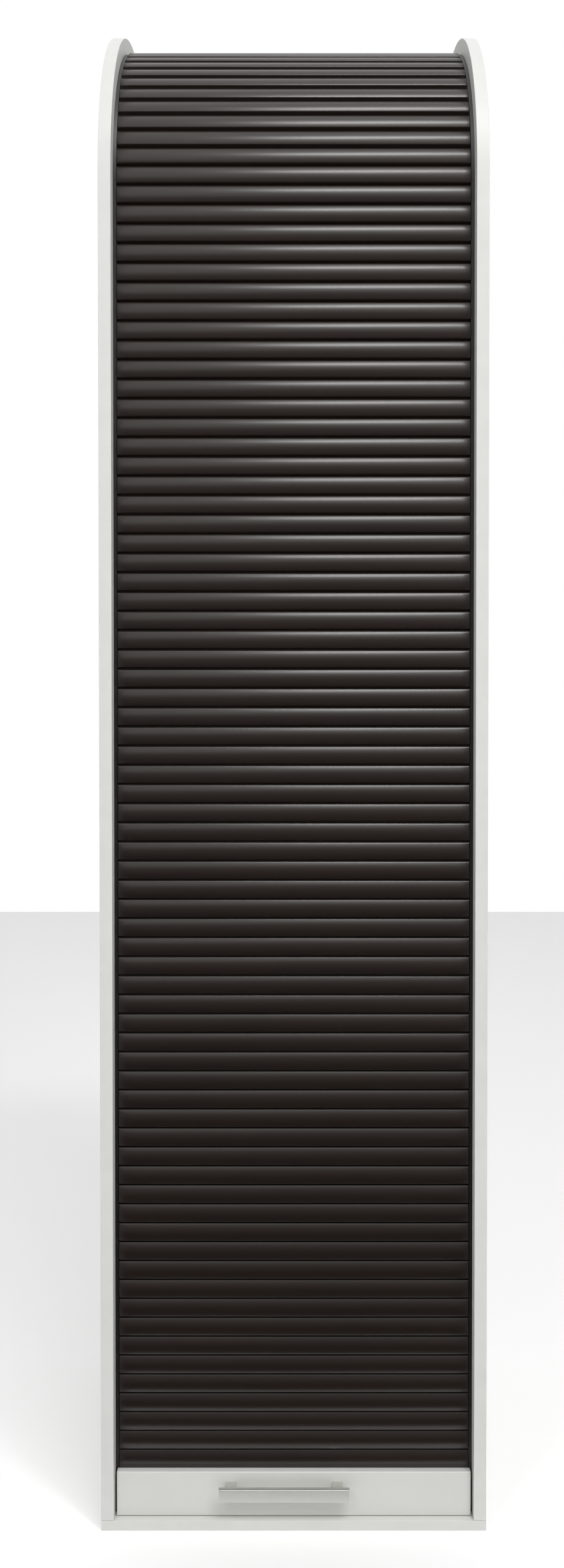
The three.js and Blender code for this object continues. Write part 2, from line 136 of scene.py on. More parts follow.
def on_circle(centre: Point, radius: float, angle: float) -> Point:
    """Point of a circle at an angle in degrees."""
    turn = math.radians(angle)
    return centre[0] + radius * math.cos(turn), centre[1] + radius * math.sin(turn)


def arc(centre: Point, radius: float, start: float, end: float, steps: int) -> list[Point]:
    """Points of an arc with both ends.

    Args:
        centre: Centre of the arc.
        radius: Its radius.
        start: Angle of the first point, in degrees.
        end: Angle of the last point, in degrees.
        steps: Number of chords.

    Returns:
        The points, in order.
    """
    return [on_circle(centre, radius, angle) for angle in even_steps(start, end, steps)]


def rectangle(low: Point, high: Point) -> list[Point]:
    """Corners of a rectangle, anticlockwise from the lowest."""
    return [low, (high[0], low[1]), high, (low[0], high[1])]


def drawn_corner(radius: float, inset: float) -> float:
    """Radius of a round corner of an outline that is drawn in: smaller, but never gone."""
    return radius - inset * CORNER_SHARE


def across(axis: int, point: Point, along: float) -> Place:
    """Puts a point of an outline, drawn over the other two axes, at a distance along an axis."""
    place = list(point)
    place.insert(axis, along)
    return tuple(place)


def smooth(mesh: bpy.types.Mesh, sharp: float) -> None:
    """Shades a mesh round, except at edges that turn more than an angle in degrees."""
    mesh.shade_smooth()
    mesh.set_sharp_from_angle(angle=math.radians(sharp))


class MeshDraft:
    """Points and faces of one piece, gathered in millimetres."""

    def __init__(self) -> None:
        """Starts an empty draft."""
        self.points: list[Place] = []
        self.faces: list[tuple[int, ...]] = []

    def loft(self, rings: Sequence[Sequence[Place]]) -> None:
        """Adds a closed body through rings of equally many points, with flat ends.

        Args:
            rings: The rings, from one end of the body to the other.
        """
        start, count = len(self.points), len(rings[0])
        last = start + (len(rings) - 1) * count
        for ring in rings:
            self.points.extend(ring)
        for low in range(start, last, count):
            high = low + count
            for step in range(count):
                after = (step + 1) % count
                self.faces.append((low + step, low + after, high + after, high + step))
        self.faces.append(tuple(range(start, start + count)))
        self.faces.append(tuple(range(last, last + count)))

    def prism(self, outline: Sequence[Point], span: Point, axis: int) -> None:
        """Adds a bar of constant outline with sharp ends.

        Args:
            outline: The outline over the other two axes.
            span: Where the bar starts and ends.
            axis: The axis that it lies along.
        """
        self.loft([[across(axis, point, along) for point in outline] for along in span])

    def slab(self, outline: Outline, span: Point, edge: float, axis: int) -> None:
        """Adds a plate of constant outline with rounded edges.

        Args:
            outline: Gives the outline, over the other two axes, drawn in by an inset.
            span: Where the plate starts and ends.
            edge: Radius of its long edges.
            axis: The axis that its broad sides look along.
        """
        low, high = span
        turns = [math.radians(angle) for angle in even_steps(0, 90, ROUND_STEPS)]
        rounding = [(edge * (1 - math.sin(turn)), edge * (1 - math.cos(turn))) for turn in turns]
        levels = [(inset, low + rise) for inset, rise in rounding]
        levels += [(inset, high - rise) for inset, rise in reversed(rounding)]
        self.loft([[across(axis, point, along) for point in outline(inset)]
                   for inset, along in levels])

    def lathe(self, profile: Sequence[Point], centre: Point, axis: int, sides: int) -> None:
        """Adds a body turned about a line.

        Args:
            profile: Radius and distance along the line, from end to end.
            centre: Where the line is on the other two axes.
            axis: The axis that it lies along.
            sides: Points in each ring.
        """
        self.loft([[across(axis, point, along) for point in arc(centre, radius, 0, 360, sides)[:-1]]
                   for radius, along in profile])

    def build(self, name: str, sharp: float = 40) -> Piece:
        """Makes the Blender object.

        Args:
            name: Name of the object.
            sharp: Edges that turn more than this, in degrees, stay sharp.

        Returns:
            The new object, in metres and linked to the scene.
        """
        mesh = bpy.data.meshes.new(name)
        mesh.from_pydata([(x * MM, y * MM, z * MM) for x, y, z in self.points], [], self.faces)
        shape = bmesh.new()
        shape.from_mesh(mesh)
        bmesh.ops.recalc_face_normals(shape, faces=shape.faces)
        shape.to_mesh(mesh)
        shape.free()
        smooth(mesh, sharp)
        piece = bpy.data.objects.new(name, mesh)
        bpy.context.scene.collection.objects.link(piece)
        return piece


def carve(piece: Piece, cutter: Piece, sharp: float) -> None:
    """Cuts one object out of another and takes the cutter away.

    Args:
        piece: The object that is cut.
        cutter: The closed object that is taken out of it.
        sharp: Edges that turn more than this, in degrees, stay sharp.
    """
    cut = piece.modifiers.new("cut", "BOOLEAN")
    cut.operation = "DIFFERENCE"
    cut.solver = "EXACT"
    cut.object = cutter
    bpy.context.view_layer.update()
    graph = bpy.context.evaluated_depsgraph_get()
    done = bpy.data.meshes.new_from_object(piece.evaluated_get(graph))
    piece.modifiers.clear()
    piece.data = done
    done.name = piece.name
    smooth(done, sharp)
    bpy.data.objects.remove(cutter)


def linear(colour: str) -> tuple[float, float, float, float]:
    """Turns an sRGB colour to the linear one that a shader takes.

    Args:
        colour: Six hexadecimal digits.

    Returns:
        Red, green, blue and alpha.
    """
    parts = [int(colour[start:start + 2], 16) / 255 for start in (0, 2, 4)]
    straight = [part / 12.92 if part <= 0.04045 else ((part + 0.055) / 1.055) ** 2.4
                for part in parts]
    return (straight[0], straight[1], straight[2], 1.0)


def empty_material(name: str) -> bpy.types.Material:
    """Makes a material with no nodes yet."""
    material = bpy.data.materials.new(name)
    material.use_nodes = True
    material.node_tree.nodes.clear()
    return material


def add_node(
    tree: Tree,
    kind: str,
    values: dict | None = None,
    links: dict | None = None,
    **settings: object,
) -> bpy.types.Node:
    """Adds a shader node.

    Args:
        tree: The node tree that gets it.
        kind: Blender's name for this kind of node.
        values: Numbers and colours for its sockets, by socket name or place.
        links: Outputs of other nodes for its sockets, by socket name or place.
        settings: The node's own settings.

    Returns:
        The new node.
    """
    node = tree.nodes.new(kind)
    for name, value in settings.items():
        setattr(node, name, value)
    for socket, value in (values or {}).items():
        node.inputs[socket].default_value = value
    for socket, source in (links or {}).items():
        tree.links.new(source, node.inputs[socket])
    return node


def ramp(tree: Tree, value: Socket, given: Point, wanted: Point, shape: str = "LINEAR") -> Socket:
    """Carries a value from one range to another and stops at its ends.

    Args:
        tree: Node tree of the world or of a material.
        value: The value.
        given: Its lowest and highest level.
        wanted: What these two become.
        shape: How it runs between them.

    Returns:
        The new value.
    """
    levels = {"From Min": given[0], "From Max": given[1], "To Min": wanted[0], "To Max": wanted[1]}
    node = add_node(tree, "ShaderNodeMapRange", levels, {"Value": value}, interpolation_type=shape)
    return node.outputs["Result"]


def seen_white(tree: Tree) -> Socket:
    """Tells the rays that show the backdrop from those that only light the room.

    Args:
        tree: Node tree of the world or of a material.

    Returns:
        One for what the camera, a reflection or a see-through surface shows, otherwise zero.
    """
    path = add_node(tree, "ShaderNodeLightPath")
    shown = path.outputs["Is Camera Ray"]
    for other in ("Is Glossy Ray", "Is Transmission Ray"):
        both = {0: shown, 1: path.outputs[other]}
        shown = add_node(tree, "ShaderNodeMath", links=both, operation="MAXIMUM").outputs["Value"]
    return shown


@dataclass(frozen=True)
class Pattern:
    """A noise pattern: width of one speck in millimetres, its stretch, and its finer layers."""

    speck: float
    stretch: Place = (1, 1, 1)
    layers: float = 2

    def add(self, tree: Tree, where: Socket) -> Socket:
        """Adds the pattern to a material.

        Args:
            tree: The material's node tree.
            where: Coordinates in metres.

        Returns:
            The pattern, about a mean of one half.
        """
        squeeze = {"Scale": tuple(1 / part for part in self.stretch)}
        mapping = add_node(tree, "ShaderNodeMapping", squeeze, {"Vector": where})
        size = {"Scale": 1 / (self.speck * MM), "Detail": self.layers}
        noise = add_node(tree, "ShaderNodeTexNoise", size, {"Vector": mapping.outputs["Vector"]})
        return noise.outputs["Fac"]


@dataclass(frozen=True)
class Finish:
    """A surface whose sheen and relief follow a fine grain, and whose colour drifts.

    The sheen is how far the roughness runs below and above its mean, and the relief is how high
    the grain stands, in millimetres. The colour drifts with a pattern of its own or the grain's.
    """

    name: str
    colour: str
    drift_colour: str
    roughness: float
    sheen: Point
    grain: Pattern
    relief: float
    drift: Pattern | None = None
    ior: float = 1.5
    metal: bool = False

    def height(self, tree: Tree, where: Socket, grain: Socket) -> Socket:
        """Gives the pattern of the relief: the grain, unless a finish adds to it."""
        return grain

    def glow(self, tree: Tree) -> dict[str, Socket]:
        """Gives the links that make a surface shine by itself: none on the cabinet."""
        return {}

    def make(self) -> bpy.types.Material:
        """Makes the material."""
        material = empty_material(self.name)
        tree = material.node_tree
        where = add_node(tree, "ShaderNodeTexCoord").outputs["Object"]
        grain = self.grain.add(tree, where)
        drift = self.drift.add(tree, where) if self.drift else grain
        middle = (0.25, 0.75)
        tones = {MIX_FIRST: linear(self.colour), MIX_SECOND: linear(self.drift_colour)}
        share = {MIX_SHARE: ramp(tree, drift, middle, (0, 1))}
        colour = add_node(tree, "ShaderNodeMix", tones, share, data_type="RGBA")
        bump = add_node(tree, "ShaderNodeBump", {"Strength": 1.0, "Distance": self.relief * MM},
                        {"Height": self.height(tree, where, grain)})
        values = {"Base Color": linear(self.colour), "Roughness": self.roughness}
        values |= {"Metallic": 1.0} if self.metal else {"IOR": self.ior}
        links = {"Base Color": colour.outputs[MIX_RESULT], "Normal": bump.outputs["Normal"]}
        links |= self.glow(tree)
        if any(self.sheen):
            limits = (self.roughness - self.sheen[0], self.roughness + self.sheen[1])
            links["Roughness"] = ramp(tree, grain, middle, limits)
        shader = add_node(tree, "ShaderNodeBsdfPrincipled", values, links)
        add_node(tree, "ShaderNodeOutputMaterial", links={"Surface": shader.outputs["BSDF"]})
        return material


@dataclass(frozen=True)
class MelamineFace(Finish):
    """Melamine-faced chipboard: paper pressed in resin with a fine pearl texture.

    The eye sees an even light grey with a soft, slightly pebbled sheen.
    """

    name: str = "melamine_face"
    colour: str = "DADAD6"
    drift_colour: str = "D6D6D2"
    roughness: float = 0.5
    sheen: Point = (0.04, 0.04)
    grain: Pattern = Pattern(0.9)
    relief: float = 0.012
    drift: Pattern = Pattern(140)


@dataclass(frozen=True)
class EdgeBand(Finish):
    """ABS edge banding, extruded and scraped flush: smoother than the faces beside it.

    The eye sees a slightly tighter sheen, with a faint drift of tone along the edge.
    """

    name: str = "abs_edge_band"
    colour: str = "DBDBD8"
    drift_colour: str = "D7D7D4"
    roughness: float = 0.42
    sheen: Point = (0.03, 0.05)
    grain: Pattern = Pattern(0.7)
    relief: float = 0.006
    drift: Pattern = Pattern(28)


@dataclass(frozen=True)
class PaintedHardboard(Finish):
    """Hardboard, rolled with a matt paint.

    The eye sees a flat, slightly warm off-white with the fine fibre of the board under it.
    """

    name: str = "painted_hardboard"
    colour: str = "D6D4CE"
    drift_colour: str = "D0CEC7"
    roughness: float = 0.72
    sheen: Point = (0.05, 0.05)
    grain: Pattern = Pattern(1.4, (3, 1, 1), 4)
    relief: float = 0.02


@dataclass(frozen=True)
class ExtrudedPlastic(Finish):
    """Dark brown polystyrene, extruded: the die leaves fine lines along each slat.

    The eye sees a long satin highlight with the faintest streaks, over an almost black brown.
    """

    name: str = "extruded_slat_plastic"
    colour: str = "1D140E"
    drift_colour: str = "211610"
    roughness: float = 0.3
    sheen: Point = (0.02, 0.02)
    grain: Pattern = Pattern(0.35)
    relief: float = 0.0015
    drift: Pattern = Pattern(60, (4, 1, 1))
    ior: float = 1.58
    die_lines: Pattern = Pattern(0.5, (420, 1, 1))

    def height(self, tree: Tree, where: Socket, grain: Socket) -> Socket:
        """Lays the die's lines over the grain."""
        both = {0: self.die_lines.add(tree, where), 1: grain}
        return add_node(tree, "ShaderNodeMath", links=both, operation="ADD").outputs["Value"]


@dataclass(frozen=True)
class TrackPlastic(Finish):
    """Black PVC track, extruded: a plain, duller black than the slats."""

    name: str = "pvc_track"
    colour: str = "171513"
    drift_colour: str = "1B1917"
    roughness: float = 0.42
    sheen: Point = (0.04, 0.06)
    grain: Pattern = Pattern(0.5)
    relief: float = 0.004
    drift: Pattern = Pattern(30)


@dataclass(frozen=True)
class GlidePlastic(Finish):
    """Acetal glides, moulded: dark grey and waxy, with the light grain of a spark-eroded mould."""

    name: str = "acetal_glide"
    colour: str = "2E2E2E"
    drift_colour: str = "333333"
    roughness: float = 0.38
    sheen: Point = (0.05, 0.05)
    grain: Pattern = Pattern(0.4)
    relief: float = 0.01
    ior: float = 1.48


@dataclass(frozen=True)
class AnodisedAluminium(Finish):
    """Aluminium bar, brushed along its length and anodised: a quiet satin silver.

    The eye sees short hair lines along the bar that pull its highlights out sideways.
    """

    name: str = "anodised_aluminium"
    colour: str = "E2E2DE"
    drift_colour: str = "D6D6D2"
    roughness: float = 0.42
    sheen: Point = (0.05, 0.05)
    grain: Pattern = Pattern(0.12, (90, 1, 1))
    relief: float = 0.003
    metal: bool = True


@dataclass(frozen=True)
class ZincSteel(Finish):
    """Steel, zinc plated in a barrel: bright with a faint bluish crystal mottle."""

    name: str = "zinc_plated_steel"
    colour: str = "C3C7CA"
    drift_colour: str = "AEB4B8"
    roughness: float = 0.3
    sheen: Point = (0.08, 0.1)
    grain: Pattern = Pattern(0.8)
    relief: float = 0.004
    metal: bool = True


@dataclass(frozen=True)
class StudioPaper(Finish):
    """Seamless white studio paper: matt, with a slight fibre, and overexposed to plain white."""

    name: str = "studio_paper"
    colour: str = "FAFAFA"
    drift_colour: str = "F8F8F8"
    roughness: float = 0.9
    sheen: Point = (0, 0)
    grain: Pattern = Pattern(3)
    relief: float = 0.02
    lift: float = 0.14

    def glow(self, tree: Tree) -> dict[str, Socket]:
        """Lifts the paper to white where it is seen, in the shader's own white emission."""
        shown = {0: seen_white(tree)}
        lift = add_node(tree, "ShaderNodeMath", {1: self.lift}, shown, operation="MULTIPLY")
        return {"Emission Strength": lift.outputs["Value"]}


class Workshop:
    """The materials, what the record says of each node, and the last steps of every piece."""

    def __init__(self) -> None:
        """Makes the cabinet's materials and reads the bodies and slots from the record."""
        self.board = MelamineFace().make()
        self.edge = EdgeBand().make()
        self.hardboard = PaintedHardboard().make()
        self.slat = ExtrudedPlastic().make()
        self.track = TrackPlastic().make()
        self.glide = GlidePlastic().make()
        self.handle = AnodisedAluminium().make()
        self.steel = ZincSteel().make()
        record = frame["record"]
        bodies = record["behaviour"]["bodies"]
        self.bodies = {node: body for body, nodes in bodies.items() for node in nodes}
        self.slots = {part["node"]: part["material_slot"] for part in record["subparts"]}

    def box(self, node: str) -> tuple[Place, Place]:
        """Lowest and highest corner of a node, in millimetres."""
        low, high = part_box(node)
        return tuple(value / MM for value in low), tuple(value / MM for value in high)

    def middle(self, node: str) -> Place:
        """Middle of a node's box, in millimetres."""
        low, high = self.box(node)
        return tuple((one + other) / 2 for one, other in zip(low, high))

    def settle(self, piece: Piece, node: str, material: bpy.types.Material) -> None:
        """Dresses a piece, lets it stand for a node and sets it on the node's body.

        Args:
            piece: The finished piece, in place.
            node: The node that it replaces.
            material: Its material, or that of its first slot.
        """
        if piece.data.materials:
            piece.data.materials[0] = material
        else:
            piece.data.materials.append(material)
        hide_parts(node)
        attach(piece, self.bodies[node])
        log.info("%s stands for %s on %s", piece.name, node, self.bodies[node])

    def settle_flat(self, piece: Piece, node: str, material: bpy.types.Material) -> None:
        """Settles a piece whose broad faces keep their own flat shading beside its round edges."""
        piece.modifiers.new("even_normals", "WEIGHTED_NORMAL").keep_sharp = True
        self.settle(piece, node, material)

    def settle_board(self, piece: Piece, node: str, face_axis: int) -> None:
        """Settles a melamine board, with edge banding on all faces but its two broad sides.

        Args:
            piece: The finished board, in place.
            node: The node that it replaces.
            face_axis: The axis that its broad sides look along.
        """
        piece.data.materials.clear()
        for material in (self.board, self.edge):
            piece.data.materials.append(material)
        for face in piece.data.polygons:
            face.material_index = 0 if abs(face.normal[face_axis]) > BROAD_SIDE else 1
        self.settle_flat(piece, node, self.board)


def place_in_frame(origin: Bearing, point: Point) -> Point:
    """Puts a point given by its depth and its distance along a slat into a frame.

    Args:
        origin: Y and Z of the frame's origin, and its turn.
        point: Depth and distance along.

    Returns:
        Y and Z of the point.
    """
    y, z, turn = origin
    depth, along = point
    return (y - depth * math.cos(turn) + along * math.sin(turn),
            z + depth * math.sin(turn) + along * math.cos(turn))


@dataclass(frozen=True)
class CurtainWay:
    """The hinge line of the curtain, from the lead rail's hook up, over the crown and down.

    It also holds what slats, tracks and lead rail share: how far from the cabinet's middle the
    slats and their pins end, and half the track's width.
    """

    front_y: float = -193.5
    hook_z: float = 67.6
    crown_y: float = 54.5
    crown_z: float = 1610
    crown_radius: float = 248
    crown_steps: int = 72
    rear_bend_y: float = 128.5
    rear_bend_z: float = 1778
    rear_bend_radius: float = 80
    bend_steps: int = 24
    slat_end: float = 210.2
    pin_end: float = 218.8
    track_half: float = 3.4

    @property
    def crown_start(self) -> float:
        """Run at which the crown begins."""
        return self.crown_z - self.hook_z

    @property
    def crown_end(self) -> float:
        """Run at which the crown ends."""
        return self.crown_start + self.crown_radius * math.pi / 2

    @property
    def bend_start(self) -> float:
        """Run at which the rear bend begins."""
        return self.crown_end + self.rear_bend_y - self.crown_y

    @property
    def bend_end(self) -> float:
        """Run at which the rear bend ends."""
        return self.bend_start + self.rear_bend_radius * math.pi / 2

    def at(self, run: float) -> Bearing:
        """Finds a point of the hinge line.

        Args:
            run: Distance along the line.

        Returns:
            Its Y and Z, and the angle by which the line has turned backwards from straight up.
        """
        if run <= self.crown_start:
            return self.front_y, self.hook_z + run, 0.0
        if run <= self.crown_end:
            turn = (run - self.crown_start) / self.crown_radius
            return (self.crown_y - self.crown_radius * math.cos(turn),
                    self.crown_z + self.crown_radius * math.sin(turn), turn)
        if run <= self.bend_start:
            return (self.crown_y + run - self.crown_end,
                    self.rear_bend_z + self.rear_bend_radius, math.pi / 2)
        if run <= self.bend_end:
            turn = math.pi / 2 + (run - self.bend_start) / self.rear_bend_radius
            return (self.rear_bend_y - self.rear_bend_radius * math.cos(turn),
                    self.rear_bend_z + self.rear_bend_radius * math.sin(turn), turn)
        return (self.rear_bend_y + self.rear_bend_radius,
                self.rear_bend_z - (run - self.bend_end), math.pi)

    def slat_frame(self, number: int, pitch: float) -> Bearing:
        """Frame of a slat, from the hinge under it to the hinge over it.

        Args:
            number: The slat's number from the lead rail.
            pitch: Distance between hinges.

        Returns:
            Y and Z of the lower hinge, and the slat's turn.
        """
        low_y, low_z, _ = self.at(number * pitch)
        high_y, high_z, _ = self.at((number + 1) * pitch)
        return low_y, low_z, math.atan2(high_y - low_y, high_z - low_z)

    def band(self, section: Sequence[Point], side: Side, start: float, end: float) -> MeshDraft:
        """Sweeps a section along the hinge line, in one side of the cabinet.

        Args:
            section: Distance from the cabinet's middle, and depth, of each point.
            side: The side that it lies in.
            start: Run at which it begins.
            end: Run at which it ends.

        Returns:
            A draft of the swept body.
        """
        bends = even_steps(self.crown_start, self.crown_end, self.crown_steps)
        bends += even_steps(self.bend_start, self.bend_end, self.bend_steps)
        draft = MeshDraft()
        draft.loft([[across(0, place_in_frame(self.at(run), (depth, 0)), side.value * x)
                     for x, depth in section]
                    for run in (start, *(run for run in bends if start < run < end), end)])
        return draft


@dataclass(frozen=True)
class SlatSection:
    """Section of one slat: a socket below, a bead on a neck above, and a round face.

    From below, the face is a tight chin, a full belly and a lip, each smooth with the next. The
    angles are how far the belly looks up at its two ends.
    """

    pitch: float = 23
    front: float = 5.8
    back: float = 3.2
    chin_radius: float = 1.3
    chin_angle: float = -17
    belly_radius: float = 24
    lip_angle: float = 31.5
    lip_radius: float = 1.5
    back_foot: float = 0.8
    back_round: float = 0.5
    bead_radius: float = 1.5
    neck: float = 1
    socket_clearance: float = 0.35
    socket_wall: float = 1
    shoulder_gap: float = 0.45
    mouth_front: float = 24
    mouth_back: float = 44
    back_join: float = 175
    bead_steps: int = 12
    chin_steps: int = 9
    belly_steps: int = 18
    lip_steps: int = 6
    root_steps: int = 3
    socket_steps: int = 9

    @property
    def socket_inner(self) -> float:
        """Inner radius of the socket."""
        return self.bead_radius + self.socket_clearance

    @property
    def socket_outer(self) -> float:
        """Outer radius of the socket."""
        return self.socket_inner + self.socket_wall

    @property
    def shoulder_drop(self) -> float:
        """Drop from a hinge to the shoulder under it."""
        return self.socket_outer + self.shoulder_gap

    @property
    def top(self) -> float:
        """Height of the slat's shoulder over its lower hinge."""
        return self.pitch - self.shoulder_drop

    def bead(self, centre: Point) -> list[Point]:
        """Outline of a bead, from the front of its neck over the top to the back."""
        root = math.degrees(math.asin(self.neck / 2 / self.bead_radius))
        return arc(centre, self.bead_radius, root - 90, 270 - root, self.bead_steps)

    def face(self) -> list[Point]:
        """Outer face of the slat, from the chin's underside up to its lip.

        Returns:
            Depth and distance along, from below.
        """
        lip_share = math.sin(math.radians(self.lip_angle))
        crest = self.top - self.lip_radius * (1 - lip_share) - self.belly_radius * lip_share
        belly = (self.front - self.belly_radius, crest)
        chin = on_circle(belly, self.belly_radius - self.chin_radius, self.chin_angle)
        lip = on_circle(belly, self.belly_radius - self.lip_radius, self.lip_angle)
        return [
            *arc(chin, self.chin_radius, -90, self.chin_angle, self.chin_steps),
            *arc(belly, self.belly_radius, self.chin_angle, self.lip_angle, self.belly_steps)[1:],
            *arc(lip, self.lip_radius, self.lip_angle, 90, self.lip_steps)[1:],
        ]

    def outline(self) -> list[Point]:
        """Whole outline of the slat, round once: front from socket to bead, then down the back."""
        front_lip, back_lip = self.mouth_front - 90, 270 - self.mouth_back
        edge = self.back_round
        back_y = edge - self.back
        return [
            on_circle((0, 0), self.socket_outer, front_lip),
            *self.face(),
            (self.neck / 2, self.top),
            *self.bead((0, self.pitch)),
            (-self.neck / 2, self.top),
            *arc((back_y, self.top - edge), edge, 90, 180, SMALL_STEPS),
            *arc((back_y, self.back_foot + edge), edge, 180, 270, SMALL_STEPS),
            *arc((0, 0), self.socket_outer, self.back_join, back_lip, self.root_steps),
            *arc((0, 0), self.socket_inner, back_lip, front_lip, self.socket_steps),
        ]


@dataclass(frozen=True)
class Curtain:
    """The curtain of hinged slats in its four stretches.

    The end shape is how far in from a slat's end, and how far under its face, the rounding of its
    end passes, as shares of the rounding's radius.
    """

    shop: Workshop
    way: CurtainWay
    section: SlatSection
    pin_radius: float = 1.4
    pin_chamfer: float = 0.4
    pin_sides: int = 12
    front_slats: int = 67
    crown_slats: int = 17
    top_slats: int = 9
    tail_slats: int = 4
    end_round: float = 0.5
    end_shape: tuple[Point, ...] = ((0, 1), (0.15, 0.3), (1, 0))
    fold_height: float = 1608.6
    fold_share: float = 0.00714

    def add_slat(self, draft: MeshDraft, number: int) -> None:
        """Adds one slat with its two hinge pins.

        Args:
            draft: Gathers the mesh.
            number: The slat's number from the lead rail.
        """
        origin = self.way.slat_frame(number, self.section.pitch)
        rings = []
        for offset, inset in self.end_shape:
            drawn = inset * self.end_round
            ring = [(depth - drawn if depth > self.section.socket_outer else depth, along)
                    for depth, along in self.section.outline()]
            rings.append((self.way.slat_end - offset * self.end_round,
                          [place_in_frame(origin, point) for point in ring]))
        stations = [(-x, ring) for x, ring in rings] + rings[::-1]
        draft.loft([[across(0, point, x) for point in ring] for x, ring in stations])
        hinge = place_in_frame(origin, (0, self.section.pitch))
        profile = [(self.pin_radius, self.way.slat_end - self.pin_chamfer),
                   (self.pin_radius, self.way.pin_end - self.pin_chamfer),
                   (self.pin_radius - self.pin_chamfer, self.way.pin_end)]
        for side in Side:
            turned = [(radius, side.value * x) for radius, x in profile]
            draft.lathe(turned, hinge, 0, self.pin_sides)

    def make(self) -> None:
        """Makes every stretch and sets it on its body."""
        stretches = [("tambour_front_run", self.front_slats)]
        stretches += [(f"crown_slat_{number + 1}", 1) for number in range(self.crown_slats)]
        stretches += [("tambour_top_run", self.top_slats), ("tambour_tail", self.tail_slats)]
        first = 0
        for node, count in stretches:
            draft = MeshDraft()
            for number in range(first, first + count):
                self.add_slat(draft, number)
            piece = draft.build(f"{node}_slats", sharp=50)
            self.shop.settle(piece, node, self.shop.slat)
            if node == "tambour_front_run":
                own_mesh(piece)
            first += count


@dataclass(frozen=True)
class GuideTracks:
    """Guide tracks: open channels that follow the hinge line in each side panel."""

    shop: Workshop
    way: CurtainWay
    lip_x: float = 210.7
    back_x: float = 220.8
    slot_half: float = 1.9
    web: float = 1.2
    lip_round: float = 0.5
    seat_gap: float = 0.2
    panel_bottom: float = 12.2

    @property
    def foot_run(self) -> float:
        """Run at which the way meets the channel's foot rail."""
        return self.way.bend_end + self.way.rear_bend_z - self.shop.box("channel_foot_rail")[1][2]

    def section(self) -> list[Point]:
        """Outline of the channel: distance from the middle of the cabinet, and depth."""
        edge, x = self.lip_round, self.lip_x + self.lip_round
        web_x = self.back_x - self.web
        return [
            *arc((x, self.slot_half + edge), edge, 270, 180, SMALL_STEPS),
            *arc((x, self.way.track_half - edge), edge, 180, 90, SMALL_STEPS),
            (self.back_x, self.way.track_half),
            (self.back_x, -self.way.track_half),
            *arc((x, edge - self.way.track_half), edge, 270, 180, SMALL_STEPS),
            *arc((x, -self.slot_half - edge), edge, 180, 90, SMALL_STEPS),
            (web_x, -self.slot_half),
            (web_x, self.slot_half),
        ]

    def make(self) -> None:
        """Makes the three lengths on each side."""
        spans = {
            "front": (self.panel_bottom - self.way.hook_z, self.way.crown_start - self.seat_gap),
            "top": (self.way.crown_start, self.way.bend_end),
            "rear": (self.way.bend_end + self.seat_gap, self.foot_run - self.seat_gap),
        }
        for side, (place, span) in product(Side, spans.items()):
            node = f"{place}_track_{side.word}"
            channel = self.way.band(self.section(), side, *span).build(f"{node}_channel", sharp=35)
            self.shop.settle(channel, node, self.shop.track)


